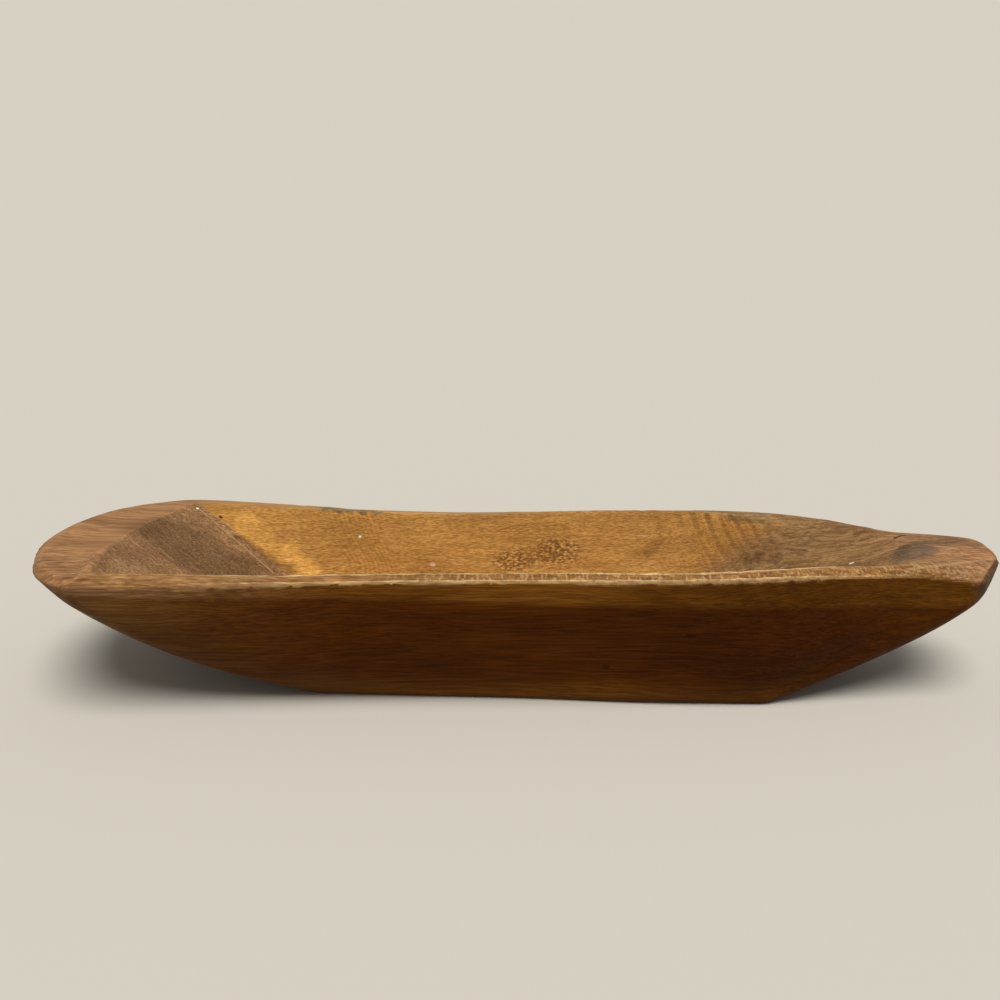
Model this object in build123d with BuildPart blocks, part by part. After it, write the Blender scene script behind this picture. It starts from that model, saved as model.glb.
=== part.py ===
from build123d import *
import os

# A long dough bowl carved from one block of wood: a waisted trough with a broad lug at one end and a
# narrower lug at the other. Millimetres, +Z up. The origin is on the table under the middle of the bowl,
# +X runs to the narrow lug and -Y to the front. Carved by eye, it bends a little from side to side.

# Rim, seen from above. An offset is how far the middle of the bowl lies behind the middle of its base there.
LENGTH = 400.0
BROAD_WIDTH = 126.0
BROAD_OFFSET = 3.0
BROAD_END = 37.0
HEEL_WIDTH = 108.0
HEEL_X = -78.0
WAIST_WIDTH = 101.0
WAIST_X = 5.0
HIP_WIDTH = 102.0
HIP_OFFSET = 3.5
HIP_X = 80.0
SHOULDER_WIDTH = 80.0
SHOULDER_OFFSET = 2.0
SHOULDER_X = 145.0
NARROW_WIDTH = 53.0
NARROW_OFFSET = -8.5
NARROW_END = 22.0

# Rim, seen from the side, and its bevel, which falls outwards and lies deeper towards the broad end
HEIGHT = 58.0
SHEER_DIP = 1.0
SHEER_DIP_X = -50.0
HIP_RISE = 0.8
NARROW_DROP = 0.5
RIM_BEVEL_DROP = 2.0
RIM_BEVEL_WIDTH = 3.0
RIM_BEVEL_TILT = 0.25

# Knuckle, where the band under the rim turns in to the lower wall
BAND_HEIGHT = 12.0
BAND_TILT = 1.15
KNUCKLE_INSET = 0.5
KNUCKLE_BROAD_INSET = 10.0
KNUCKLE_NARROW_INSET = 11.0
KNUCKLE_NARROW_END = 16.0

# Belly, a line round the outside between the base and the knuckle
BELLY_HEIGHT = 22.0
BELLY_BROAD_WIDTH = 98.0
BELLY_BROAD_INSET = 44.0
BELLY_BROAD_END = 34.0
BELLY_HEEL_WIDTH = 92.0
BELLY_WAIST_WIDTH = 87.0
BELLY_HIP_WIDTH = 88.0
BELLY_SHOULDER_WIDTH = 80.0
BELLY_SHOULDER_OFFSET = -2.0
BELLY_NARROW_WIDTH = 66.0
BELLY_NARROW_OFFSET = -4.0
BELLY_NARROW_INSET = 35.0
BELLY_NARROW_END = 26.0

# Flat base
BASE_BROAD_WIDTH = 69.0
BASE_BROAD_INSET = 99.0
BASE_HEEL_WIDTH = 71.5
BASE_WAIST_WIDTH = 74.0
BASE_NARROW_WIDTH = 79.0
BASE_NARROW_INSET = 84.0
BASE_END = 16.0
BASE_BEVEL = 2.0
BASE_END_BEVEL = 7.0

# Hollow
RIM_WALL = 7.0
BROAD_LUG = 30.0
BROAD_MOUTH_WIDTH = 107.0
BROAD_MOUTH_BOW = 9.0
NARROW_LUG = 31.0
NARROW_MOUTH_WIDTH = 64.0
NARROW_MOUTH_END = 30.0
MOUTH_BEVEL = 0.6
FLOOR_THICKNESS = 12.0
FLOOR_WIDTH = 42.0
FLOOR_BROAD_INSET = 110.0
FLOOR_NARROW_INSET = 126.0
FLOOR_BOW = 6.0
FLOOR_RADIUS = 14.0

# Narrow lug: its tip is sawn off, leaning in below and turned to the front, and the front corner of its top
# is pared off flat
TIP_CUT = 3.0
TIP_LEAN = 15.0
TIP_TURN = 6.0
TIP_FAR_Y = 5.0
FACET_LENGTH = 52.0
FACET_START_Y = -39.0
FACET_END_Y = -18.0
FACET_ANGLE = 26.0

# Waste left above the rim until the sheer is cut
TRIM = 3.0

broad_tip = -LENGTH / 2
narrow_tip = LENGTH / 2
blank_tip = narrow_tip + TIP_CUT
blank_top = HEIGHT + TRIM
side_start = broad_tip + BROAD_END
side_length = blank_tip - NARROW_END - side_start
# The broad end is the widest place, so its middle lies over the origin and the base in front of it
base_y = -BROAD_OFFSET


def level(z, tilt=0.0):
    """Plane across the bowl at a height, tilted to rise towards the narrow lug."""
    return Plane((0, base_y, z)).rotated((0, -tilt, 0))


def hull_outline(plane, sizes, inset=0.0, end_inset=0.0):
    """Plan outline of the outside: half-ellipse ends joined by sides that draw in at the waist."""
    broad_x, narrow_x, broad_end, narrow_end, widths, offsets = sizes
    start = broad_x + broad_end
    end = narrow_x - narrow_end
    shares = [(x - side_start) / side_length for x in (HEEL_X, WAIST_X, HIP_X, SHOULDER_X)]
    places = (start, *(start + share * (end - start) for share in shares), end)
    halves = [width / 2 - inset for width in widths]
    stations = list(zip(places, offsets, halves))
    far = [(x, offset + half) for x, offset, half in stations]
    near = [(x, offset - half) for x, offset, half in stations]
    with BuildSketch(plane) as sketch:
        with BuildLine():
            EllipticalCenterArc((start, offsets[0]), broad_end - end_inset, halves[0], 90, arc_size=180)
            Spline(near, tangents=((1, 0), (1, 0)), tangent_scalars=(1, 1))
            EllipticalCenterArc((end, offsets[5]), narrow_end - end_inset, halves[5], -90, arc_size=180)
            Spline(far[::-1], tangents=((-1, 0), (-1, 0)), tangent_scalars=(1, 1))
        make_face()
    return sketch.sketch


def mouth_outline(z, spread):
    """Plan outline of the hollow near the rim, with corners where its end walls meet its sides."""
    broad_x = broad_tip + BROAD_LUG - spread
    narrow_end = NARROW_MOUTH_END + spread
    end = narrow_tip - NARROW_LUG - NARROW_MOUTH_END
    halves = (
        BROAD_MOUTH_WIDTH / 2 + spread,
        HEEL_WIDTH / 2 - RIM_WALL + spread,
        WAIST_WIDTH / 2 - RIM_WALL + spread,
        HIP_WIDTH / 2 - RIM_WALL + spread,
        NARROW_MOUTH_WIDTH / 2 + spread,
    )
    offsets = (0, 0, 0, HIP_OFFSET, 0)
    stations = list(zip((broad_x + BROAD_MOUTH_BOW, HEEL_X, WAIST_X, HIP_X, end), offsets, halves))
    far = [(x, offset + half) for x, offset, half in stations]
    near = [(x, offset - half) for x, offset, half in stations]
    with BuildSketch(level(z)) as sketch:
        with BuildLine():
            ThreePointArc(far[0], (broad_x, 0), near[0])
            Spline(near, tangents=((1, 0), (1, 0)), tangent_scalars=(1, 1))
            EllipticalCenterArc((end, 0), narrow_end, halves[4], -90, arc_size=180)
            Spline(far[::-1], tangents=((-1, 0), (-1, 0)), tangent_scalars=(1, 1))
        make_face()
    return sketch.sketch


base_sizes = (
    broad_tip + BASE_BROAD_INSET,
    narrow_tip - BASE_NARROW_INSET,
    BASE_END,
    BASE_END,
    (
        BASE_BROAD_WIDTH,
        BASE_HEEL_WIDTH,
        BASE_WAIST_WIDTH,
        BASE_NARROW_WIDTH,
        BASE_NARROW_WIDTH,
        BASE_NARROW_WIDTH,
    ),
    (0, 0, 0, 0, 0, 0),
)
belly_sizes = (
    broad_tip + BELLY_BROAD_INSET,
    narrow_tip - BELLY_NARROW_INSET,
    BELLY_BROAD_END,
    BELLY_NARROW_END,
    (
        BELLY_BROAD_WIDTH,
        BELLY_HEEL_WIDTH,
        BELLY_WAIST_WIDTH,
        BELLY_HIP_WIDTH,
        BELLY_SHOULDER_WIDTH,
        BELLY_NARROW_WIDTH,
    ),
    (0, 0, 0, 0, BELLY_SHOULDER_OFFSET, BELLY_NARROW_OFFSET),
)
rim_widths = (BROAD_WIDTH, HEEL_WIDTH, WAIST_WIDTH, HIP_WIDTH, SHOULDER_WIDTH, NARROW_WIDTH)
rim_offsets = (BROAD_OFFSET, 0, 0, HIP_OFFSET, SHOULDER_OFFSET, NARROW_OFFSET)
knuckle_sizes = (
    broad_tip + KNUCKLE_BROAD_INSET,
    blank_tip - KNUCKLE_NARROW_INSET,
    BROAD_END - KNUCKLE_BROAD_INSET,
    KNUCKLE_NARROW_END,
    rim_widths,
    rim_offsets,
)
rim_sizes = (broad_tip, blank_tip, BROAD_END, NARROW_END, rim_widths, rim_offsets)
trim_inset = (TRIM + RIM_BEVEL_DROP) * RIM_BEVEL_WIDTH / RIM_BEVEL_DROP
base = hull_outline(level(0), base_sizes, BASE_BEVEL, BASE_END_BEVEL)
base_edge = hull_outline(level(BASE_BEVEL), base_sizes)
belly = hull_outline(level(BELLY_HEIGHT), belly_sizes)
knuckle = hull_outline(level(HEIGHT - BAND_HEIGHT, -BAND_TILT), knuckle_sizes, KNUCKLE_INSET)
rim = hull_outline(level(HEIGHT - RIM_BEVEL_DROP, RIM_BEVEL_TILT), rim_sizes)
blank_rim = hull_outline(level(blank_top), rim_sizes, trim_inset, trim_inset)

mouth = mouth_outline(HEIGHT - MOUTH_BEVEL, 0)
blank_mouth = mouth_outline(blank_top, TRIM + MOUTH_BEVEL)
floor_corners = [
    (broad_tip + FLOOR_BROAD_INSET + FLOOR_BOW, FLOOR_WIDTH / 2),
    (broad_tip + FLOOR_BROAD_INSET + FLOOR_BOW, -FLOOR_WIDTH / 2),
    (narrow_tip - FLOOR_NARROW_INSET - FLOOR_BOW, -FLOOR_WIDTH / 2),
    (narrow_tip - FLOOR_NARROW_INSET - FLOOR_BOW, FLOOR_WIDTH / 2),
]
with BuildSketch(level(FLOOR_THICKNESS)) as floor:
    with BuildLine():
        ThreePointArc(floor_corners[0], (broad_tip + FLOOR_BROAD_INSET, 0), floor_corners[1])
        Line(floor_corners[1], floor_corners[2])
        ThreePointArc(floor_corners[2], (narrow_tip - FLOOR_NARROW_INSET, 0), floor_corners[3])
        Line(floor_corners[3], floor_corners[0])
    make_face()

# The waste that is carved out: sloping walls that meet in creases, a flat floor with a gouge-round edge,
# and a narrow bevel that eases the mouth
with BuildPart() as waste:
    loft([floor.sketch, mouth, blank_mouth], ruled=True)
    fillet(waste.faces().sort_by(Axis.Z)[0].edges(), radius=FLOOR_RADIUS)

# Plane of the pared corner of the narrow lug, falling outwards from a line along the lug's top
facet_start = Vector(narrow_tip - FACET_LENGTH, FACET_START_Y, HEIGHT)
facet_end = Vector(narrow_tip, FACET_END_Y, HEIGHT - NARROW_DROP)
facet_line = facet_end - facet_start
facet_normal = Vector(0, 0, 1).rotate(Axis(facet_start, facet_line), FACET_ANGLE)
facet = Plane(origin=facet_start, x_dir=facet_line, z_dir=facet_normal)

# Plane of the saw cut across the tip
tip_normal = Vector(1, 0, 0).rotate(Axis.Y, TIP_LEAN).rotate(Axis.Z, -TIP_TURN)
sawn_tip = Plane(origin=(narrow_tip, TIP_FAR_Y, HEIGHT - NARROW_DROP), z_dir=tip_normal)

with BuildPart() as bowl:
    loft([base, base_edge], ruled=True)
    loft([base_edge, belly, knuckle])
    loft([knuckle, rim, blank_rim], ruled=True)
    # The sheer: seen from the side the rim dips along the middle, rises at the hip and falls to the lug
    with BuildSketch(Plane.XZ.offset(-BROAD_WIDTH)):
        with BuildLine():
            sheer = Spline(
                (broad_tip - TRIM, HEIGHT),
                (SHEER_DIP_X, HEIGHT - SHEER_DIP),
                (HIP_X, HEIGHT + HIP_RISE),
                (blank_tip + TRIM, HEIGHT - NARROW_DROP),
                tangents=((1, 0), (1, 0)),
                tangent_scalars=(1, 1),
            )
            Polyline(
                sheer @ 1,
                (blank_tip + TRIM, blank_top + TRIM),
                (broad_tip - TRIM, blank_top + TRIM),
                sheer @ 0,
            )
        make_face()
    extrude(amount=2 * BROAD_WIDTH, mode=Mode.SUBTRACT)
    with BuildSketch(facet):
        Rectangle(LENGTH, BROAD_WIDTH)
    extrude(amount=HEIGHT, mode=Mode.SUBTRACT)
    with BuildSketch(sawn_tip):
        Rectangle(2 * BROAD_WIDTH, 2 * BROAD_WIDTH)
    extrude(amount=NARROW_LUG, mode=Mode.SUBTRACT)
    add(waste.part, mode=Mode.SUBTRACT)

bowl.part.label = "bowl"
os.makedirs("parts", exist_ok=True)
export_step(bowl.part, "parts/bowl.step")
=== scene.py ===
from math import pi, radians
import bmesh
import bpy
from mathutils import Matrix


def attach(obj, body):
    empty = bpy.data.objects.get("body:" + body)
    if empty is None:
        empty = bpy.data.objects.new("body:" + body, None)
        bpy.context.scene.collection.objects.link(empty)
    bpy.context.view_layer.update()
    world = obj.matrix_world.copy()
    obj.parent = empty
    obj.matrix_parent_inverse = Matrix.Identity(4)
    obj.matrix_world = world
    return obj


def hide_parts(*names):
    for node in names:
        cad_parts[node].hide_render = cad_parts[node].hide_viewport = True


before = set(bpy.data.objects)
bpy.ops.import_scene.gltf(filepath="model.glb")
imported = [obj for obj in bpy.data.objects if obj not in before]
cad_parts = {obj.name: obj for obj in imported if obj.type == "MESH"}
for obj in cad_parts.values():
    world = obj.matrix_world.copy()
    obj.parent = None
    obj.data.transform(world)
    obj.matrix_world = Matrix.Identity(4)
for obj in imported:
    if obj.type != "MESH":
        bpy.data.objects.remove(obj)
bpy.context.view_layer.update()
scene = bpy.context.scene
scene.view_settings.view_transform = "Standard"

# Bowl: one block of oiled hardwood, hollowed and shaped with gouge, adze and scraper, its grain running
# from lug to lug. The cut surface keeps the marks of the tools, and years of use have rounded its edges.
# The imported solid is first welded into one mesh, the block, which the carving follows.
WELD_DISTANCE = 1e-6
block_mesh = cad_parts["bowl"].data.copy()
welded = bmesh.new()
welded.from_mesh(block_mesh)
bmesh.ops.remove_doubles(welded, verts=welded.verts, dist=WELD_DISTANCE)
welded.to_mesh(block_mesh)
welded.free()
block = bpy.data.objects.new("block", block_mesh)
scene.collection.objects.link(block)

# The carving is a tree of geometry nodes with these controls. Depths, lifts and swells are in metres, and
# passes say how many times the points are drawn towards their neighbours.
CONTROLS = (
    ("Crease passes", "NodeSocketInt", 40),
    ("Edge passes", "NodeSocketInt", 4),
    ("Lug lift", "NodeSocketFloat", 0.0014),
    ("Rim lift", "NodeSocketFloat", 0.0012),
    ("Lug swell", "NodeSocketFloat", 0.0036),
    ("Gouge depth", "NodeSocketFloat", 0.0006),
    ("Chatter depth", "NodeSocketFloat", 0.0004),
    ("Fibre depth", "NodeSocketFloat", 0.0005),
    ("Torn depth", "NodeSocketFloat", 0.0006),
    ("Nick depth", "NodeSocketFloat", 0.00025),
    ("Unevenness", "NodeSocketFloat", 0.0011),
    ("Seed", "NodeSocketFloat", 7.0),
)
carving = bpy.data.node_groups.new("carving", "GeometryNodeTree")
sockets = [("Blank", "NodeSocketGeometry"), ("Model", "NodeSocketObject"), ("Wood", "NodeSocketMaterial")]
sockets += [(name, kind) for name, kind, value in CONTROLS]
for name, kind in sockets:
    carving.interface.new_socket(name=name, in_out="INPUT", socket_type=kind)
carving.interface.new_socket(name="Bowl", in_out="OUTPUT", socket_type="NodeSocketGeometry")
given = carving.nodes.new("NodeGroupInput").outputs


def add(tree, kind, inputs=(), **settings):
    """Adds a node to a tree. Each input is linked if it is a socket, and set if it is a value."""
    node = tree.nodes.new(kind)
    for name, value in settings.items():
        setattr(node, name, value)
    for key, value in dict(inputs).items():
        if isinstance(value, bpy.types.NodeSocket):
            tree.links.new(value, node.inputs[key])
        else:
            node.inputs[key].default_value = value
    return node


def home(values):
    """Tree that the sockets among some values belong to."""
    return next(value.id_data for value in values if isinstance(value, bpy.types.NodeSocket))


def calc(operation, *values):
    """Result of one sum on numbers."""
    return add(home(values), "ShaderNodeMath", enumerate(values), operation=operation).outputs[0]


def product(first, *others):
    """All the numbers multiplied together."""
    for other in others:
        first = calc("MULTIPLY", first, other)
    return first


def total(first, *others):
    """All the numbers added together."""
    for other in others:
        first = calc("ADD", first, other)
    return first


def vector(operation, *values):
    """Result of one sum on vectors."""
    return add(home(values), "ShaderNodeVectorMath", enumerate(values), operation=operation).outputs[0]


def measure(operation, *values):
    """Number that comes from a sum on vectors, such as a length."""
    return add(home(values), "ShaderNodeVectorMath", enumerate(values), operation=operation).outputs["Value"]


def scaled(direction, amount):
    """A vector made longer or shorter."""
    inputs = {0: direction, "Scale": amount}
    return add(home(inputs.values()), "ShaderNodeVectorMath", inputs, operation="SCALE").outputs[0]


def ramp(value, start, end, low=0.0, high=1.0):
    """Smooth step from low, where the value is at start, to high, where it is at end."""
    inputs = {"Value": value, "From Min": start, "From Max": end, "To Min": low, "To Max": high}
    return add(value.id_data, "ShaderNodeMapRange", inputs, interpolation_type="SMOOTHSTEP").outputs[0]


def keep(geometry, name, value):
    """Keeps a number on each point of the mesh."""
    inputs = {"Geometry": geometry, "Name": name, "Value": value}
    stored = add(carving, "GeometryNodeStoreNamedAttribute", inputs, data_type="FLOAT", domain="POINT")
    return stored.outputs[0]


def kept(name):
    """Number kept on a point of the mesh."""
    return add(carving, "GeometryNodeInputNamedAttribute", {"Name": name}, data_type="FLOAT").outputs[0]


def moved(geometry, position):
    """Mesh with its points moved to other places."""
    return add(carving, "GeometryNodeSetPosition", {"Geometry": geometry, "Position": position}).outputs[0]


def shifted(geometry, offset):
    """Mesh with its points moved by an offset."""
    return add(carving, "GeometryNodeSetPosition", {"Geometry": geometry, "Offset": offset}).outputs[0]


def blurred(passes, weight):
    """Places of the points, drawn towards their neighbours."""
    inputs = {"Value": place, "Iterations": passes, "Weight": weight}
    return add(carving, "GeometryNodeBlurAttribute", inputs, data_type="FLOAT_VECTOR").outputs[0]


# The mesh is evened out on the true surface, and the points along an edge are set exactly on that edge.
# An edge counts as sharp or acute by its bend in radians, and draws in the points within its reach. Here
# and below, a value of two numbers says where a smooth step starts and where it ends.
CELL = 0.00128
SHARP = 0.63
ACUTE = 1.0
SHARP_REACH = 0.7 * CELL
ACUTE_REACH = 1.05 * CELL
LINE_PASSES = 12
EVENING_ROUNDS = 3
EVENING_PASSES = 2
FACE_PASSES = 12
FACE_SPAN = (0.0004, 0.003)
FACE_WEIGHT = 0.9
place = add(carving, "GeometryNodeInputPosition").outputs[0]
facing = add(carving, "GeometryNodeInputNormal").outputs[0]
x, y, z = add(carving, "ShaderNodeSeparateXYZ", {0: place}).outputs
normal_x, normal_y, normal_z = add(carving, "ShaderNodeSeparateXYZ", {0: facing}).outputs
model = add(carving, "GeometryNodeObjectInfo", {"Object": given["Model"]}, transform_space="ORIGINAL")
model = model.outputs["Geometry"]
bend = add(carving, "GeometryNodeInputMeshEdgeAngle").outputs["Unsigned Angle"]
bent = calc("GREATER_THAN", bend, SHARP)


def nearest_edge(chosen):
    """Nearest point and distance on the chosen edges of the model, drawn as smooth lines."""
    inputs = {"Geometry": model, "Selection": chosen}
    edges = add(carving, "GeometryNodeSeparateGeometry", inputs, domain="EDGE").outputs[0]
    lines = add(carving, "GeometryNodeMeshToCurve", {"Mesh": edges}).outputs[0]
    inputs = {"Curve": lines, "Length": CELL}
    lines = add(carving, "GeometryNodeResampleCurve", inputs, mode="LENGTH").outputs[0]
    free = calc("SUBTRACT", 1.0, add(carving, "GeometryNodeCurveEndpointSelection").outputs[0])
    lines = moved(lines, blurred(LINE_PASSES, free))
    edges = add(carving, "GeometryNodeCurveToMesh", {"Curve": lines}).outputs[0]
    return add(carving, "GeometryNodeProximity", {0: edges}, target_element="EDGES").outputs


to_edge = nearest_edge(bent)
to_acute = nearest_edge(calc("GREATER_THAN", bend, ACUTE))
to_face = add(carving, "GeometryNodeProximity", {0: model}, target_element="FACES").outputs
on_edge = calc("LESS_THAN", to_edge["Distance"], SHARP_REACH)
on_edge = calc("MAXIMUM", on_edge, calc("LESS_THAN", to_acute["Distance"], ACUTE_REACH))
shaped = keep(given["Blank"], "on_edge", on_edge)
inputs = {0: kept("on_edge"), 4: to_face["Position"], 5: to_edge["Position"]}
seat = add(carving, "ShaderNodeMix", inputs, data_type="VECTOR").outputs[1]
shaped = moved(shaped, seat)
for turn in range(EVENING_ROUNDS):
    shaped = moved(moved(shaped, blurred(EVENING_PASSES, 1.0)), seat)
shaped = moved(shaped, blurred(FACE_PASSES, ramp(to_edge["Distance"], *FACE_SPAN, 0.0, FACE_WEIGHT)))

# Regions of the surface, kept on the mesh for the steps below and for the wood's finish. A name in _UP is
# for how far a face looks up, one in _LEAN for how far it leans in or out. The brow is the rim's outer edge.
BASE_Y = -0.003
RIM_FOOT = 0.043
EDGE_LEAN = 0.003
TIP_X = (0.186, 0.192)
BROW_UP = (0.62, 0.72)
FLOOR_UP = (0.05, 0.15)
FLOOR_LEAN = (0.004, 0.001)
FLOOR_TOP = (0.047, 0.043)
WALL_LEAN = (-0.005, -0.009)
STEEP_UP = (0.95, 0.92)
STEEP_TOP = (0.052, 0.048)
TOP_UP = (0.45, 0.6)
TOP_PASSES = 10
TOP_SPAN = (0.001, 0.003)
BROAD_WALL_SLOPE = 1.635
BROAD_WALL_FOOT = (-0.0635, -0.0655)
NARROW_WALL_SLOPE = -1.466
NARROW_WALL_FOOT = (0.028, 0.050)
END_WALL_UP = (0.995, 0.97)
SIDE_WIDTH = 0.001
outward = total(product(normal_x, x), product(normal_y, calc("SUBTRACT", y, BASE_Y)))
above = calc("GREATER_THAN", z, RIM_FOOT)
mouth_edge = product(bent, above, calc("LESS_THAN", outward, -EDGE_LEAN))
brow_edge = product(bent, above, calc("GREATER_THAN", outward, EDGE_LEAN))
brow_edge = product(brow_edge, calc("LESS_THAN", normal_z, ramp(x, *TIP_X, *BROW_UP)))
mouth_gap = nearest_edge(mouth_edge)["Distance"]
brow_gap = nearest_edge(brow_edge)["Distance"]

floor_side = product(ramp(normal_z, *FLOOR_UP), ramp(outward, *FLOOR_LEAN), ramp(z, *FLOOR_TOP))
inside = calc("MAXIMUM", ramp(outward, *WALL_LEAN), floor_side)
inside = product(inside, calc("LESS_THAN", mouth_gap, brow_gap))
inside = product(inside, calc("MAXIMUM", ramp(normal_z, *STEEP_UP), ramp(z, *STEEP_TOP)))
inputs = {"Value": facing}
true_face = add(carving, "GeometryNodeFieldOnDomain", inputs, data_type="FLOAT_VECTOR", domain="FACE")
inputs = {"Mesh": model, "Value": true_face.outputs[0]}
true_face = add(carving, "GeometryNodeSampleNearestSurface", inputs, data_type="FLOAT_VECTOR")
face_up = add(carving, "ShaderNodeSeparateXYZ", {0: true_face.outputs["Value"]}).outputs["Z"]
top = calc("MAXIMUM", ramp(face_up, *TOP_UP), inside)
inputs = {"Value": top, "Iterations": TOP_PASSES, "Weight": ramp(brow_gap, *TOP_SPAN)}
top = add(carving, "GeometryNodeBlurAttribute", inputs, data_type="FLOAT").outputs[0]
broad_end = ramp(total(x, product(z, BROAD_WALL_SLOPE)), *BROAD_WALL_FOOT)
narrow_end = ramp(total(x, product(z, NARROW_WALL_SLOPE)), *NARROW_WALL_FOOT)
end_wall = product(calc("MAXIMUM", broad_end, narrow_end), ramp(normal_z, *END_WALL_UP))


def sided(gap, side):
    """-1 on one side of an edge and 1 on the other, passing 0 exactly on it."""
    share = calc("MINIMUM", calc("DIVIDE", gap, SIDE_WIDTH), 1.0)
    return product(share, calc("SUBTRACT", product(side, 2.0), 1.0))


for name, value in (
    ("inside", inside),
    ("hollow_side", sided(mouth_gap, inside)),
    ("crown_side", sided(brow_gap, top)),
    ("mouth_gap", mouth_gap),
    ("brow_gap", brow_gap),
    ("end_wall", end_wall),
    ("end_grain", calc("ABSOLUTE", normal_x)),
    ("gap", to_edge["Distance"]),
):
    shaped = keep(shaped, name, value)

# The gouge rounds the creases of the hollow and the scraper the turn of the outer wall, the knuckle. The
# narrow end wall rolls over into its lug, and hands have worn the lug's tip. Other edges are only eased.
CREASE_SPAN = (0.011, 0.002)
CREASE_Z = (0.0565, 0.050)
CREASE_X = (-0.10, 0.02)
CREASE_WEIGHT = (0.2, 1.0)
KNUCKLE_Z = (0.038, 0.051)
KNUCKLE_SOFT = 0.002
KNUCKLE_LEAN = (0.004, 0.010)
KNUCKLE_X = (-0.15, -0.11)
KNUCKLE_WEIGHT = (0.15, 0.7)
ROLL_X = (0.108, 0.125)
ROLL_Y = (-0.034, -0.026)
ROLL_Z = (0.040, 0.046)
ROLL_LEAN = (0.02, 0.005)
ROLL_SPAN = (0.004, 0.009)
ROLL_END_X = (0.190, 0.175)
WORN_X = (0.187, 0.195)
WORN_Y = (-0.026, -0.016)
WORN_WEIGHT = 0.3
EASED_SPAN = (0.003, 0.001)
EASED_WEIGHT = 0.8


def window(value, start, end, soft):
    """1 between start and end and 0 outside them, with soft flanks."""
    return product(ramp(value, start - soft, start + soft), ramp(value, end + soft, end - soft))


crease = product(kept("inside"), ramp(z, *CREASE_Z), ramp(x, *CREASE_X, *CREASE_WEIGHT))
knuckle = product(window(z, *KNUCKLE_Z, KNUCKLE_SOFT), ramp(outward, *KNUCKLE_LEAN))
knuckle = product(knuckle, ramp(x, *KNUCKLE_X, *KNUCKLE_WEIGHT))
roll = product(ramp(x, *ROLL_X), ramp(y, *ROLL_Y), ramp(z, *ROLL_Z), ramp(outward, *ROLL_LEAN))
roll = product(roll, ramp(kept("brow_gap"), *ROLL_SPAN), ramp(x, *ROLL_END_X))
worn = product(ramp(x, *WORN_X), ramp(y, *WORN_Y), WORN_WEIGHT)
soft = product(calc("MAXIMUM", crease, knuckle), ramp(kept("gap"), *CREASE_SPAN))
soft = calc("MAXIMUM", calc("MAXIMUM", soft, roll), worn)
shaped = moved(shaped, blurred(given["Crease passes"], soft))
shaped = moved(shaped, blurred(given["Edge passes"], ramp(kept("gap"), *EASED_SPAN, 0.0, EASED_WEIGHT)))

# The broad lug rises and swells a little at its back, and so does the end of the narrow one. The near rim
# stands a little higher by the broad lug and is pared lower before the narrow one.
BROAD_BACK_X = (-0.174, -0.200)
BROAD_BACK_Y = (-0.040, -0.016)
BROAD_SWELL = (-0.80, 0.60, 0.0)
NARROW_BACK_X = (0.184, 0.197)
NARROW_BACK_Y = (-0.030, -0.010)
NARROW_SWELL = (1.35, 0.45, 0.0)
LIFT_REACH = 0.022
SWELL_REACH = 0.016
PROUD_X = (-0.090, -0.140)
PROUD_Y = (-0.015, -0.030)
PROUD_REACH = 0.005
PARED_X = (0.125, 0.176)
PARED_SOFT = 0.025
PARED_Y = (-0.022, -0.032)
PARED_REACH = 0.004
PARED_SHARE = -1.1
broad_back = product(ramp(x, *BROAD_BACK_X), ramp(y, *BROAD_BACK_Y))
narrow_back = product(ramp(x, *NARROW_BACK_X), ramp(y, *NARROW_BACK_Y))
lift = product(total(broad_back, narrow_back), ramp(kept("brow_gap"), LIFT_REACH, 0.0), given["Lug lift"])
proud = product(ramp(x, *PROUD_X), ramp(y, *PROUD_Y))
proud = product(proud, ramp(kept("mouth_gap"), PROUD_REACH, 0.0), given["Rim lift"])
pared = product(window(x, *PARED_X, PARED_SOFT), ramp(y, *PARED_Y))
pared = product(pared, ramp(kept("brow_gap"), PARED_REACH, 0.0), given["Rim lift"], PARED_SHARE)
raised = add(carving, "ShaderNodeCombineXYZ", {"Z": total(lift, proud, pared)}).outputs[0]
fade = product(ramp(kept("brow_gap"), SWELL_REACH, 0.0), given["Lug swell"])
swollen = scaled(BROAD_SWELL, product(broad_back, fade))
swollen = vector("ADD", swollen, scaled(NARROW_SWELL, product(narrow_back, fade)))
shaped = shifted(shaped, vector("ADD", raised, swollen))

# Tool marks: long shallow gouge cuts inside, a chattering cut across the far wall, torn fibres on the end
# walls and in two patches, nicks along the rim and the slow unevenness of the outside
LENGTHWISE = (1.0, 0.0, 0.0)
NOISE_MIDDLE = 0.5
CHATTER_PITCH = 0.0066
CHATTER_LEAN = 0.43
CHATTER_X = (0.084, 0.116)
CHATTER_SOFT = 0.006
FAR_SIDE_Y = (0.010, 0.020)
TORN_PATCHES = (
    ((-0.002, 0.030, 0.0365), (0.017, 0.014, 0.0075)),
    ((0.019, 0.034, 0.0405), (0.017, 0.014, 0.0105)),
)
TORN_LEVEL = 0.6
SPOT_CORE = 0.25
CHIP_NOISE = (0.50, 0.72)
CHIP_SPAN = (0.0022, 0.0004)
CHIP_Z = (0.050, 0.053)
CHIP_X = (-0.14, 0.13)
CHIP_SOFT = 0.02
UNEVEN_Z = (0.001, 0.004)


def grain(position, direction, along, across, seed, detail=2.0):
    """Noise from 0 to 1 in grains that lie in one direction and measure along by across metres."""
    length = measure("DOT_PRODUCT", position, direction)
    squeeze = product(length, across / along - 1.0)
    squeezed = vector("ADD", position, scaled(direction, squeeze))
    inputs = {"Vector": squeezed, "W": seed, "Scale": 1.0 / across, "Detail": detail}
    return add(position.id_data, "ShaderNodeTexNoise", inputs, noise_dimensions="4D").outputs[0]


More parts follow.
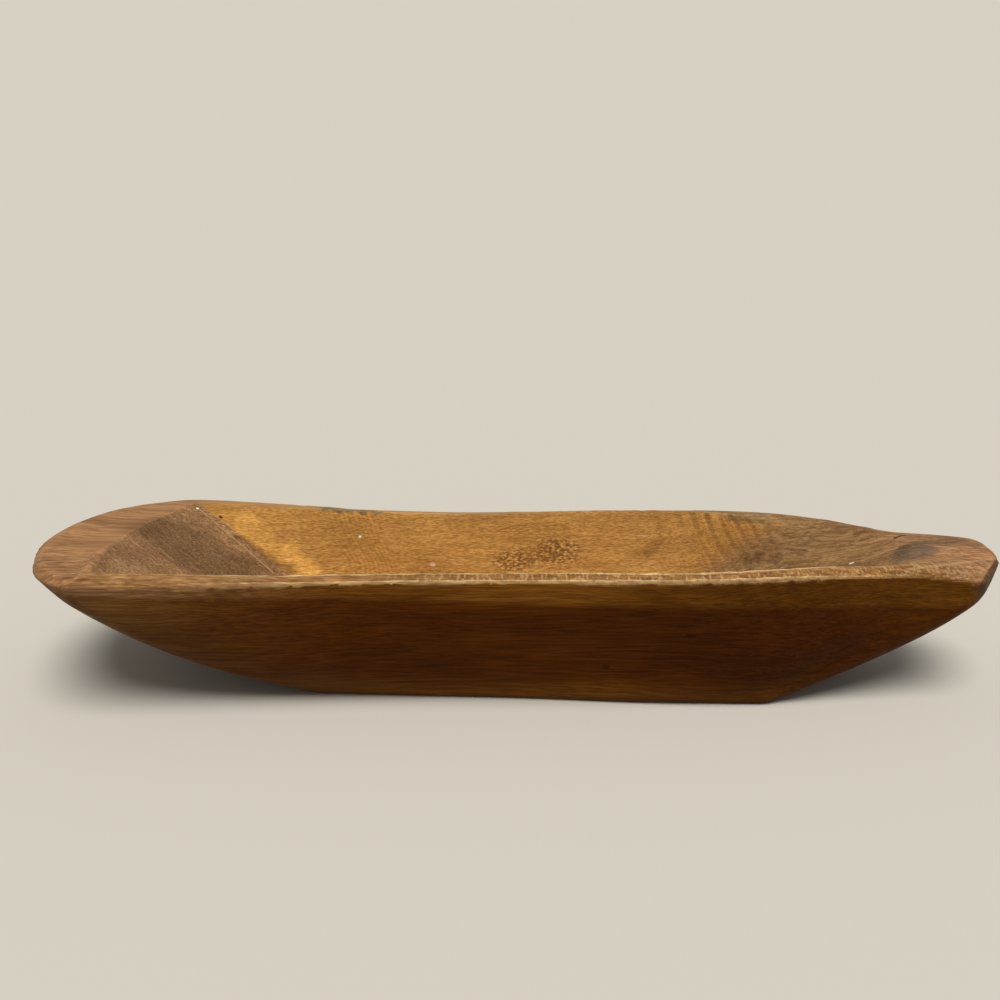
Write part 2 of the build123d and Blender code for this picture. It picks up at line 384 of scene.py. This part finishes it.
def spot(position, centre, reach):
    """1 round a place on the bowl, falling to 0 at the reach along each axis."""
    share = vector("DIVIDE", vector("SUBTRACT", position, centre), reach)
    return ramp(measure("LENGTH", share), 1.0, SPOT_CORE)


seed = given["Seed"]
gouge = grain(place, LENGTHWISE, along=0.05, across=0.012, seed=seed)
gouge = product(calc("SUBTRACT", gouge, NOISE_MIDDLE), kept("inside"), given["Gouge depth"])
wave = calc("SINE", product(total(x, product(z, CHATTER_LEAN)), 2.0 * pi / CHATTER_PITCH))
chatter = product(wave, ramp(y, *FAR_SIDE_Y), window(x, *CHATTER_X, CHATTER_SOFT), kept("inside"))
chatter = product(chatter, given["Chatter depth"])
fibre = grain(place, LENGTHWISE, along=0.009, across=0.0028, seed=seed, detail=3.0)
fibre = product(calc("SUBTRACT", fibre, NOISE_MIDDLE), kept("end_wall"), kept("inside"), given["Fibre depth"])
rough = grain(place, LENGTHWISE, along=0.004, across=0.003, seed=seed, detail=3.0)
torn = total(*(spot(place, centre, reach) for centre, reach in TORN_PATCHES))
torn = product(calc("SUBTRACT", rough, TORN_LEVEL), torn, kept("inside"), given["Torn depth"])
chip = ramp(grain(place, LENGTHWISE, along=0.006, across=0.004, seed=seed), *CHIP_NOISE)
chip = product(chip, ramp(kept("gap"), *CHIP_SPAN), ramp(z, *CHIP_Z), window(x, *CHIP_X, CHIP_SOFT))
chip = product(chip, calc("SUBTRACT", 0.0, given["Nick depth"]))
uneven = grain(place, LENGTHWISE, along=0.07, across=0.03, seed=seed, detail=1.0)
uneven = product(calc("SUBTRACT", uneven, NOISE_MIDDLE), calc("SUBTRACT", 1.0, kept("inside")))
uneven = product(uneven, given["Unevenness"], ramp(z, *UNEVEN_Z))
shaped = shifted(shaped, scaled(facing, total(gouge, chatter, fibre, torn, chip, uneven)))

# The front corner of the narrow lug is sawn off, and the base is planed level
SAW_POINT = (0.1975, -0.0223, 0.0571)
SAW_SIDE = (0.747, -0.653, -0.123)


def past_saw(position):
    """How far a place lies beyond the plane of the saw cut."""
    return measure("DOT_PRODUCT", vector("SUBTRACT", position, SAW_POINT), SAW_SIDE)


beyond = calc("MAXIMUM", past_saw(place), 0.0)
shaped = moved(shaped, vector("SUBTRACT", place, scaled(SAW_SIDE, beyond)))
inputs = {"X": x, "Y": y, "Z": calc("MAXIMUM", z, 0.0)}
shaped = moved(shaped, add(carving, "ShaderNodeCombineXYZ", inputs).outputs[0])
shaped = add(carving, "GeometryNodeSetShadeSmooth", {"Geometry": shaped}).outputs[0]
shaped = add(carving, "GeometryNodeRealizeInstances", {"Geometry": shaped}).outputs[0]
shaped = add(carving, "GeometryNodeSetMaterial", {"Geometry": shaped, "Material": given["Wood"]}).outputs[0]
add(carving, "NodeGroupOutput", {"Bowl": shaped})

# Oiled wood: golden where the hollow is rubbed, greyer on the cut end walls, tan on the lugs and dark
# outside, with a lighter band under the near rim. Below the knuckle the outside is painted darker as
# shade, and the band above it is lighter with painted light. Near its base and towards the broad end the
# outside has a painted sheen. Colours and tones are red, green and blue. A colour is multiplied by a tone,
# which comes in along the bowl between two values of x.
NEAR_SIDE_Y = (-0.020, -0.034)
NEAR_SHIFT = 0.75
BORDER = (-0.3, 0.3)
MIDDLE_X = (-0.06, 0.06)
# Height up to which a painted sheen lightens the outside towards its base
BASE_SHEEN_Z = (0.016, 0.000)
# Where the painted light on the band under the rim gives way to the painted shade below the knuckle
LIT_BAND_SLOPE = 0.03
LIT_BAND_Z = (0.0455, 0.0485)
NARROW_WALL_X = (0.145, 0.185)
BROAD_RIM_X = (-0.02, -0.12)
FAR_RIM_X = (0.06, 0.10)
BROAD_LUG_X = (-0.150, -0.168)
NARROW_LUG_X = (0.158, 0.176)
HOLLOW_X = (0.03, 0.09)
# The outside's dark oiled wood, painted darker still as shade where the wall turns down below the knuckle
DARK_SIDE_AND_SHADE = (0.120, 0.031, 0.0016)
# Painted sheen: the outside lighter and more olive near its base
BASE_SHEEN = (0.27, 0.103, 0.012)
# Painted light: the band under the rim, lighter where it faces up and out towards the lamp
LIT_BAND = (0.222, 0.080, 0.0085)
BROAD_WALL = (0.31, 0.166, 0.072)
NARROW_WALL = (0.30, 0.162, 0.062)
NARROW_TIP = (0.35, 0.178, 0.078)
NEAR_RIM = (0.318, 0.150, 0.045)
NEAR_BROAD_RIM = (0.380, 0.195, 0.070)
FAR_RIM = (0.43, 0.225, 0.075)
BROAD_LUG = (0.375, 0.188, 0.077)
GOLD = (0.508, 0.246, 0.058)
DEEP_GOLD = (0.44, 0.208, 0.049)
LOW_TONES_AND_SHEEN = (
    # Painted sheen: the lower outside lighter and greyer towards the broad end
    (-0.08, -0.17, (1.10, 1.35, 1.60)),
    (0.11, 0.17, (1.12, 1.22, 1.00)),
)
OUTER_TONES_AND_SHEEN = (
    # Painted sheen: the outside lighter and greyer towards the broad end
    (-0.06, -0.18, (1.42, 2.05, 8.5)),
    (0.00, 0.10, (0.56, 0.51, 0.36)),
    (0.11, 0.17, (1.25, 1.35, 1.10)),
)
wood = bpy.data.materials.new("oiled_wood")
wood.use_nodes = True
tree = wood.node_tree
surface = tree.nodes["Principled BSDF"]
place = add(tree, "ShaderNodeTexCoord").outputs["Object"]
x, y, z = add(tree, "ShaderNodeSeparateXYZ", {0: place}).outputs


def finish_of(name):
    """Number that the carving kept on the mesh."""
    return add(tree, "ShaderNodeAttribute", attribute_name=name).outputs["Fac"]


def tinted(factor, first, second, mode="MIX"):
    """Colour between two others, each a socket or a colour's three numbers."""
    first, second = ((*tint, 1.0) if isinstance(tint, tuple) else tint for tint in (first, second))
    inputs = {0: factor, 6: first, 7: second}
    return add(tree, "ShaderNodeMix", inputs, data_type="RGBA", blend_type=mode).outputs[2]


def toned(colour, tones):
    """Colour multiplied by tones, each coming in along the bowl from one x to another."""
    for start, end, tone in tones:
        colour = tinted(ramp(x, start, end), colour, tone, "MULTIPLY")
    return colour


near = ramp(y, *NEAR_SIDE_Y)
far = calc("SUBTRACT", 1.0, near)
inside = ramp(calc("SUBTRACT", finish_of("hollow_side"), product(near, NEAR_SHIFT)), *BORDER)
outside = calc("SUBTRACT", 1.0, inside)
crown = ramp(finish_of("crown_side"), *BORDER)
top = product(outside, crown)
end_wall = product(inside, finish_of("end_wall"))
right = ramp(x, *MIDDLE_X)
# The wall below the knuckle: dark wood in painted shade, with a painted sheen near its base and towards the
# broad end
low = toned(tinted(ramp(z, *BASE_SHEEN_Z), DARK_SIDE_AND_SHADE, BASE_SHEEN), LOW_TONES_AND_SHEEN)
# Painted light on the band above the knuckle, over the painted shade of the wall below it
outer = tinted(ramp(total(z, product(x, LIT_BAND_SLOPE)), *LIT_BAND_Z), low, LIT_BAND)
# Tones along the outer wall, the first of them a painted sheen towards the broad end
outer = toned(outer, OUTER_TONES_AND_SHEEN)
wall = tinted(right, BROAD_WALL, NARROW_WALL)
wall = tinted(ramp(x, *NARROW_WALL_X), wall, NARROW_TIP)
rim = tinted(ramp(x, *BROAD_RIM_X), NEAR_RIM, NEAR_BROAD_RIM)
rim = tinted(near, FAR_RIM, rim)
rim = tinted(product(ramp(x, *FAR_RIM_X), far), rim, wall)
rim = tinted(ramp(x, *BROAD_LUG_X), rim, BROAD_LUG)
rim = tinted(ramp(x, *NARROW_LUG_X), rim, wall)
hollow = tinted(ramp(x, *HOLLOW_X), GOLD, DEEP_GOLD)
hollow = tinted(finish_of("end_wall"), hollow, wall)
colour = tinted(inside, tinted(crown, outer, rim), hollow)

# Fibres and pores: short flecks in the hollow, long fine lines on the lugs and outside
SWAY = 0.006
CONTRAST = (0.36, 0.64)
SOFT_CONTRAST = (0.34, 0.66)
PORE_CONTRAST = (0.62, 0.72)
PORE_STRENGTH = 0.4
PORE_BROWN = (0.12, 0.048, 0.010)
FLECK_FADE = (0.10, 0.14, 1.0, 0.5)
END_GRAIN_FADE = (0.1, 0.4, 1.0, 0.2)


def fibres(position, contrast, **sizes):
    """Grain along the bowl with its contrast raised."""
    return ramp(grain(position, LENGTHWISE, **sizes), *contrast)


sway = grain(place, LENGTHWISE, along=0.06, across=0.02, seed=1.0, detail=1.0)
drift = scaled((0.0, 0.0, 1.0), product(calc("SUBTRACT", sway, NOISE_MIDDLE), SWAY))
swaying = vector("ADD", place, drift)
flecks = fibres(swaying, SOFT_CONTRAST, along=0.0026, across=0.00042, seed=2.0, detail=3.0)
lines = fibres(swaying, CONTRAST, along=0.02, across=0.00042, seed=8.0)
coarse = fibres(swaying, CONTRAST, along=0.03, across=0.0016, seed=3.0, detail=3.0)
clouds = fibres(place, SOFT_CONTRAST, along=0.06, across=0.016, seed=4.0)
pores = fibres(swaying, PORE_CONTRAST, along=0.004, across=0.00036, seed=5.0, detail=1.0)
in_hollow = product(inside, ramp(x, *FLECK_FADE))
along_grain = product(outside, ramp(finish_of("end_grain"), *END_GRAIN_FADE))
for factor, share, dark, light in (
    (flecks, in_hollow, (0.72, 0.69, 0.62), (1.26, 1.28, 1.36)),
    (lines, along_grain, (0.70, 0.66, 0.62), (1.20, 1.21, 1.22)),
    (coarse, 1.0, (0.90, 0.88, 0.86), (1.08, 1.10, 1.12)),
    (clouds, 1.0, (0.86, 0.84, 0.82), (1.12, 1.13, 1.13)),
):
    colour = tinted(share, colour, tinted(factor, dark, light), "MULTIPLY")
colour = tinted(product(pores, PORE_STRENGTH), colour, PORE_BROWN)

# The end walls are cut across the grain: rough and dull on the broad end, with lines that flow round the
# narrow one and over its lug. The sawn corner of the narrow lug is darker.
SCRATCH_WAY = (0.79, -0.41, -0.455)
CURL_WAY = (0.0, 0.3, 1.0)
CURL = 0.006
FLOW_WAY = (0.86, -0.40, 0.31)
FLOW_CONTRAST = (0.36, 0.62)
FLOW_X = (0.085, 0.12)
FLOW_Y = (-0.036, -0.028)
FLOW_DARK = (0.66, 0.64, 0.62)
FLOW_LIGHT = (1.17, 1.18, 1.19)
SAWN_DEPTH = (-0.0019, -0.0013)
SAWN_BROWN = (0.108, 0.055, 0.023)
scratches = ramp(grain(place, SCRATCH_WAY, along=0.008, across=0.0006, seed=10.0, detail=3.0), *CONTRAST)
crumbs = fibres(place, CONTRAST, along=0.0014, across=0.0008, seed=12.0, detail=3.0)
rough = product(end_wall, calc("SUBTRACT", 1.0, right))
for factor, dark, light in (
    (scratches, (0.84, 0.83, 0.82), (1.12, 1.13, 1.14)),
    (crumbs, (0.74, 0.72, 0.70), (1.24, 1.25, 1.27)),
):
    colour = tinted(rough, colour, tinted(factor, dark, light), "MULTIPLY")
curled = vector("ADD", place, scaled(CURL_WAY, product(clouds, CURL)))
flow = ramp(grain(curled, FLOW_WAY, along=0.03, across=0.0011, seed=11.0, detail=3.0), *FLOW_CONTRAST)
flowing = product(ramp(x, *FLOW_X), calc("MAXIMUM", end_wall, top), ramp(y, *FLOW_Y))
colour = tinted(flowing, colour, tinted(flow, FLOW_DARK, FLOW_LIGHT), "MULTIPLY")
colour = tinted(ramp(past_saw(place), *SAWN_DEPTH), colour, SAWN_BROWN)

# Broad marks of the cut and of use, with a painted sheen, a painted shadow and painted shade among them,
# drawn through a few places each, with edges that noise makes uneven
WARP_SCALE = 260.0
WARP = 0.005
BROAD_WARP_SCALE = 70.0
BROAD_WARP = 0.02
STREAK_CORE = 0.35
BARK = (
    (0.1605, -0.0150, 0.0545),
    (0.1673, -0.0165, 0.0575),
    (0.1730, -0.0100, 0.0577),
    (0.1671, -0.0068, 0.0566),
    (0.1630, -0.0095, 0.0550),
)


def warped_by(amount, scale):
    """Place on the bowl, shifted unevenly by noise."""
    noise = add(tree, "ShaderNodeTexNoise", {"Vector": place, "Scale": scale, "Detail": 3.0}).outputs["Color"]
    middle = (NOISE_MIDDLE, NOISE_MIDDLE, NOISE_MIDDLE)
    return vector("ADD", place, scaled(vector("SUBTRACT", noise, middle), amount))


def streak(position, start, end, reach):
    """1 on a straight line between two places on the bowl, falling to 0 at the reach from it."""
    run = tuple(b - a for a, b in zip(start, end))
    square = sum(r * r for r in run)
    offset = vector("SUBTRACT", position, start)
    share = calc("DIVIDE", measure("DOT_PRODUCT", offset, run), square)
    share = add(tree, "ShaderNodeClamp", {0: share}).outputs[0]
    gap = measure("LENGTH", vector("SUBTRACT", offset, scaled(run, share)))
    return ramp(gap, reach, STREAK_CORE * reach)


warped = warped_by(WARP, WARP_SCALE)
broadly = warped_by(BROAD_WARP, BROAD_WARP_SCALE)
for position, reach, tone, points in (
    # The broad end wall: its dull middle, its pale near corner, a golden stripe of painted sheen and the dark
    # valley
    (broadly, 0.026, (0.62, 0.62, 0.62), ((-0.158, 0.014, 0.051), (-0.132, 0.010, 0.038))),
    (broadly, 0.016, (1.14, 1.18, 1.20), ((-0.156, -0.044, 0.0558), (-0.150, -0.028, 0.0525))),
    # Painted sheen: a golden stripe, given in two runs, brightest towards its lower end
    (broadly, 0.0075, (1.34, 1.38, 1.34), ((-0.135, 0.0445, 0.0493), (-0.0999, 0.0312, 0.0309))),
    (warped, 0.0042, (1.25, 1.28, 1.25), ((-0.113, 0.0358, 0.0375), (-0.0985, 0.0306, 0.0300))),
    (warped, 0.0030, (0.66, 0.62, 0.58), ((-0.137, 0.0400, 0.0440), (-0.1095, 0.0306, 0.0290))),
    # Stains on the far rim and a shadow on the far wall
    (warped, 0.0026, (0.34, 0.44, 0.80), ((-0.096, 0.0475, 0.0570), (-0.068, 0.0432, 0.0572))),
    (warped, 0.0042, (0.56, 0.62, 0.80), ((0.104, 0.0375, 0.0578), (0.119, 0.0325, 0.0580))),
    (broadly, 0.0050, (0.72, 0.68, 0.60), ((0.0707, 0.0407, 0.0502), (0.0620, 0.0348, 0.0403))),
    # The narrow lug: bark, the shade behind it and the pale wood before it
    (warped, 0.0065, (0.50, 0.58, 0.76), BARK),
    (warped, 0.0050, (0.62, 0.67, 0.78), ((0.1733, -0.0030, 0.0577), (0.1930, 0.0011, 0.0576))),
    (broadly, 0.0080, (1.28, 1.22, 1.14), ((0.1760, -0.0225, 0.0578), (0.1920, -0.0150, 0.0576))),
):
    mark = streak(position, points[0], points[1], reach)
    for start, end in zip(points[1:], points[2:]):
        mark = calc("MAXIMUM", mark, streak(position, start, end, reach))
    colour = tinted(mark, colour, tone, "MULTIPLY")

# Ripples that the chattering tool left across the far wall, and the dark and light specks of the torn patches
RIPPLE_SWAY = 0.009
RIPPLE_WAVE = (-0.4, 1.0)
RIPPLE_PATCHES = (0.2, 0.7, 0.5, 1.0)
END_WALL_FADE = (0.0, 1.0, 1.0, 0.25)
DARK_SPECKS = (0.45, 0.56)
DARK_SPECK_STRENGTH = 0.8
DARK_SPECK_TONE = (0.28, 0.22, 0.20)
LIGHT_SPECKS = (0.41, 0.33)
LIGHT_SPECK_STRENGTH = 0.7
LIGHT_SPECK_GOLD = (0.74, 0.46, 0.18)
leaning = total(x, product(z, CHATTER_LEAN), product(sway, RIPPLE_SWAY))
far_wall = product(inside, ramp(y, *FAR_SIDE_Y), ramp(end_wall, *END_WALL_FADE))
for pitch, start, end, soft, tone in (
    (CHATTER_PITCH, 0.108, 0.148, 0.006, (0.66, 0.62, 0.56)),
    (0.0023, -0.066, -0.040, 0.004, (0.86, 0.82, 0.76)),
):
    wave = ramp(calc("SINE", product(leaning, 2.0 * pi / pitch)), *RIPPLE_WAVE)
    ripple = product(wave, far_wall, window(leaning, start, end, soft), ramp(clouds, *RIPPLE_PATCHES))
    colour = tinted(ripple, colour, tone, "MULTIPLY")
speckle = grain(place, LENGTHWISE, along=0.0016, across=0.0009, seed=7.0)
for centre, reach in TORN_PATCHES:
    torn = spot(warped, centre, reach)
    dark = product(torn, ramp(speckle, *DARK_SPECKS), DARK_SPECK_STRENGTH)
    light = product(torn, ramp(speckle, *LIGHT_SPECKS), LIGHT_SPECK_STRENGTH)
    colour = tinted(dark, colour, DARK_SPECK_TONE, "MULTIPLY")
    colour = tinted(light, colour, LIGHT_SPECK_GOLD)

# Edges of the rim that hands and cloths have rubbed pale, a fainter pale line along the far rim's inner
# edge that is a painted highlight, and nicks across the near side
WANDER = 0.0016
PATCHY_CONTRAST = (0.34, 0.60, 0.45, 1.0)
INNER_LINE_SPAN = (0.0019, 0.0012)
INNER_LINE_X = (-0.115, 0.130)
INNER_LINE_SOFT = 0.03
FAR_HIGHLIGHT_SHARE = 0.3
OUTER_LINE_SPAN = (0.0012, 0.0006)
OUTER_LINE_X = (-0.105, 0.135)
OUTER_LINE_SOFT = 0.04
# Pale of the rubbed edges, and of the painted highlight along the far rim
RUBBED_PALE_AND_HIGHLIGHT = (0.70, 0.47, 0.21)
MOTTLE_DARK = (0.74, 0.70, 0.66)
MOTTLE_LIGHT = (1.24, 1.27, 1.32)
CROSSWISE = (0.0, 1.0, 0.0)
NICK_X = (-0.045, 0.180)
NICK_SOFT = 0.03
NICK_STRENGTH = 0.5
PALE_NICKS = (0.53, 0.63)
PALE_NICK = (0.64, 0.42, 0.19)
DARK_NICKS = (0.43, 0.33)
DARK_NICK = (0.16, 0.070, 0.020)
wander = grain(place, LENGTHWISE, along=0.012, across=0.003, seed=13.0, detail=3.0)
wander = product(calc("SUBTRACT", wander, NOISE_MIDDLE), WANDER)
patchy = fibres(place, PATCHY_CONTRAST, along=0.005, across=0.0012, seed=6.0, detail=3.0)
inner_line = ramp(total(finish_of("mouth_gap"), wander), *INNER_LINE_SPAN)
inner_line = product(inner_line, outside, window(x, *INNER_LINE_X, INNER_LINE_SOFT))
# On the far rim the pale line along the mouth is fainter, and there it is a painted highlight
inner_line = product(inner_line, ramp(near, 0.0, 1.0, FAR_HIGHLIGHT_SHARE, 1.0))
outer_line = ramp(total(finish_of("brow_gap"), wander), *OUTER_LINE_SPAN)
outer_line = product(outer_line, top, near, window(x, *OUTER_LINE_X, OUTER_LINE_SOFT))
rubbed_and_highlight = product(calc("MAXIMUM", inner_line, outer_line), patchy)
colour = tinted(rubbed_and_highlight, colour, RUBBED_PALE_AND_HIGHLIGHT)
mottle = fibres(place, CONTRAST, along=0.0045, across=0.0012, seed=14.0, detail=3.0)
colour = tinted(product(near, top), colour, tinted(mottle, MOTTLE_DARK, MOTTLE_LIGHT), "MULTIPLY")
nicks = grain(place, CROSSWISE, along=0.02, across=0.0010, seed=9.0)
nicked = product(near, top, window(x, *NICK_X, NICK_SOFT))
colour = tinted(product(nicked, ramp(nicks, *PALE_NICKS), NICK_STRENGTH), colour, PALE_NICK)
colour = tinted(product(nicked, ramp(nicks, *DARK_NICKS), NICK_STRENGTH), colour, DARK_NICK)

# Small marks: scratches, a rubbed facet edge, a crack, a worm hole, specks and pits
CRACK_BLACK = (0.035, 0.018, 0.010)
PIT_BLACK = (0.018, 0.006, 0.002)
for start, end, reach, stain, strength in (
    # Scratches on the end walls, and the facet's pale upper edge on the narrow lug
    ((-0.1589, 0.0486, 0.0560), (-0.1172, 0.0265, 0.0305), 0.0008, (0.50, 0.31, 0.14), 0.5),
    ((-0.1585, -0.0008, 0.0509), (-0.1512, -0.0046, 0.0467), 0.0007, (0.44, 0.29, 0.16), 0.45),
    ((0.1505, -0.0013, 0.0486), (0.1645, -0.0026, 0.0553), 0.0008, (0.50, 0.31, 0.15), 0.5),
    ((0.1450, -0.0402, 0.0578), (0.1965, -0.0210, 0.0575), 0.0013, (0.52, 0.32, 0.15), 0.55),
    # The crack in the narrow lug and the worm hole by the broad one
    ((0.1675, 0.0066, 0.0573), (0.1734, 0.0092, 0.0577), 0.0010, CRACK_BLACK, 0.9),
    ((0.1734, 0.0092, 0.0577), (0.1800, 0.0082, 0.0577), 0.0008, CRACK_BLACK, 0.8),
    ((-0.1477, 0.0468, 0.0523), (-0.1468, 0.0465, 0.0518), 0.0009, (0.025, 0.010, 0.004), 0.95),
    # Pale specks in the hollow and at its far corner
    ((-0.1592, 0.0482, 0.0561), (-0.1591, 0.0482, 0.0561), 0.0009, (0.90, 0.86, 0.78), 1.0),
    ((-0.0771, 0.0380, 0.0455), (-0.0770, 0.0380, 0.0455), 0.0009, (0.90, 0.84, 0.74), 1.0),
    ((-0.0415, 0.0297, 0.0345), (-0.0405, 0.0296, 0.0343), 0.0012, (0.78, 0.52, 0.34), 0.7),
    ((0.1464, 0.0004, 0.0468), (0.1474, 0.0003, 0.0472), 0.0009, (0.88, 0.74, 0.52), 0.9),
    # Dark pits in the near side
    ((0.0640, -0.0488, 0.0329), (0.0668, -0.0488, 0.0327), 0.0011, PIT_BLACK, 0.7),
    ((0.0330, -0.0454, 0.0180), (0.0341, -0.0454, 0.0178), 0.0013, PIT_BLACK, 0.6),
):
    colour = tinted(product(streak(place, start, end, reach), strength), colour, stain)

# The wood's dull sheen, with flecks and lines that stand up and pores that sink in
FLECK_RISE = 0.4
LINE_RISE = 0.2
PORE_RISE = -0.6
ROUGHNESS = (0.62, 0.50)
height = total(product(flecks, FLECK_RISE), product(lines, LINE_RISE), product(pores, PORE_RISE))
bump = add(tree, "ShaderNodeBump", {"Strength": 0.4, "Distance": 0.0003, "Height": height}).outputs[0]
tree.links.new(colour, surface.inputs["Base Color"])
tree.links.new(bump, surface.inputs["Normal"])
tree.links.new(ramp(coarse, 0.0, 1.0, *ROUGHNESS), surface.inputs["Roughness"])
surface.inputs["Specular IOR Level"].default_value = 0.06

# The blank is the block in even cells. The carving shapes it into the bowl, which stands for the CAD node.
blank = bpy.data.objects.new("blank", block_mesh.copy())
scene.collection.objects.link(blank)
even = blank.modifiers.new("even", "REMESH")
even.mode = "VOXEL"
even.voxel_size = CELL
marks = blank.modifiers.new("marks", "NODES")
marks.node_group = carving
settings = [("Model", block), ("Wood", wood)]
settings += [(name, value) for name, kind, value in CONTROLS]
for name, value in settings:
    marks[carving.interface.items_tree[name].identifier] = value
evaluated = blank.evaluated_get(bpy.context.evaluated_depsgraph_get())
bowl = bpy.data.objects.new("dough_bowl", bpy.data.meshes.new_from_object(evaluated))
scene.collection.objects.link(bowl)
bpy.data.objects.remove(blank)
bpy.data.objects.remove(block)
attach(bowl, "root")
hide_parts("bowl")

# Floor: a wide sheet of pale paper that takes the bowl's shadow and fades into the backdrop's colour far
# away. It is pale only where it is seen: it throws little light up under the bowl.
BACKDROP = (0.68, 0.635, 0.545, 1.0)
DIM_PAPER = (0.26, 0.24, 0.21, 1.0)
FADE_DISTANCE = (0.5, 2.2)
floor_mesh = bpy.data.meshes.new("floor")
plane = bmesh.new()
bmesh.ops.create_circle(plane, cap_ends=True, radius=12.0, segments=96)
plane.to_mesh(floor_mesh)
plane.free()
floor = bpy.data.objects.new("floor", floor_mesh)
scene.collection.objects.link(floor)
paper = bpy.data.materials.new("pale_paper")
paper.use_nodes = True
tree = paper.node_tree
sheet = tree.nodes["Principled BSDF"]
sheet.inputs["Base Color"].default_value = BACKDROP
sheet.inputs["Roughness"].default_value = 0.9
sheet.inputs["Specular IOR Level"].default_value = 0.0


def seen_in(tree):
    """1 where a surface is seen, straight or in a reflection, and 0 for the light that it throws."""
    rays = add(tree, "ShaderNodeLightPath").outputs
    seen = calc("MAXIMUM", rays["Is Camera Ray"], rays["Is Glossy Ray"])
    return calc("MAXIMUM", seen, rays["Is Transmission Ray"])


dim = add(tree, "ShaderNodeBsdfDiffuse", {"Color": DIM_PAPER}).outputs[0]
glow = add(tree, "ShaderNodeEmission", {"Color": BACKDROP}).outputs[0]
distance = measure("LENGTH", add(tree, "ShaderNodeTexCoord").outputs["Object"])
inputs = {0: ramp(distance, *FADE_DISTANCE), 1: sheet.outputs[0], 2: glow}
pale = add(tree, "ShaderNodeMixShader", inputs).outputs[0]
mixed = add(tree, "ShaderNodeMixShader", {0: seen_in(tree), 1: dim, 2: pale}).outputs[0]
tree.links.new(mixed, tree.nodes["Material Output"].inputs["Surface"])
floor_mesh.materials.append(paper)

# Light: a broad soft lamp overhead and a little in front, and an even glow all round from the backdrop
AMBIENT = (0.26, 0.26, 0.26, 1.0)
world = bpy.data.worlds.new("backdrop")
scene.world = world
world.use_nodes = True
tree = world.node_tree
tone = add(tree, "ShaderNodeMix", {0: seen_in(tree), 6: AMBIENT, 7: BACKDROP}, data_type="RGBA").outputs[2]
tree.links.new(tone, tree.nodes["Background"].inputs["Color"])

overhead = bpy.data.objects.new("overhead", bpy.data.lights.new("overhead", "SUN"))
overhead.data.energy = 2.5
overhead.data.angle = radians(35.0)
overhead.rotation_euler = (radians(22.0), radians(4.0), 0.0)
scene.collection.objects.link(overhead)

# Camera: it stands close in front of the bowl, a little above the rim, and looks down at it through a
# short lens, so that the near side is seen from outside and the far side from inside
camera = bpy.data.objects.new("camera", bpy.data.cameras.new("camera"))
camera.location = (-0.01005, -0.33683, 0.15816)
camera.rotation_euler = (radians(76.0), radians(-0.671), 0.0)
camera.data.sensor_width = 36.0
camera.data.lens = 28.836
camera.data.clip_start = 0.01
scene.collection.objects.link(camera)
scene.camera = camera
